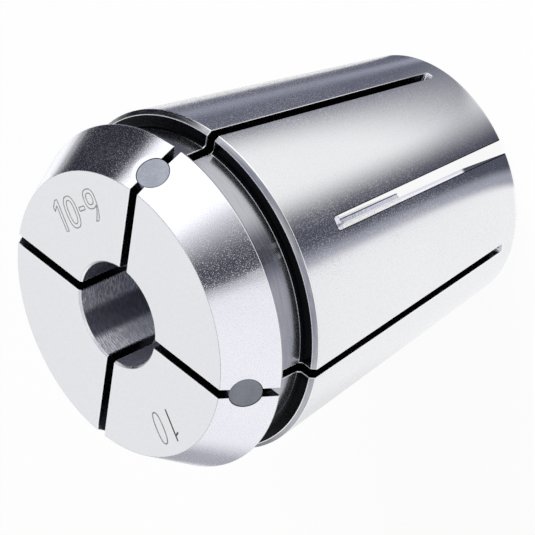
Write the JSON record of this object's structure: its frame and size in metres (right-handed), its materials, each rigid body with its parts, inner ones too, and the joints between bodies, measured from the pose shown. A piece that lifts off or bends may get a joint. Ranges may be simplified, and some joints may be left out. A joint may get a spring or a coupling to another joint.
{
  "type": "spring collet",
  "caption": "Slotted spring collet with a nose cone, extraction groove, long taper, round shank bore and sealing plugs over the front slots.",
  "frame": {"origin": "centre of the small rear face, on the collet's axis", "axes": "+Z along the axis from the rear face up to the front face; +X through a rear slot, so the front slots lie at 45 degrees to X and Y"},
  "size_m": [0.033, 0.033, 0.04],
  "materials": {
    "ground_steel": "fine ground, satin",
    "sealing_compound": "matte, ground flush"
  },
  "bodies": {
    "root": {"collet_body": "ground_steel", "sealing_plug_1": "sealing_compound", "sealing_plug_2": "sealing_compound", "sealing_plug_3": "sealing_compound", "sealing_plug_4": "sealing_compound"}
  },
  "joints": []
}
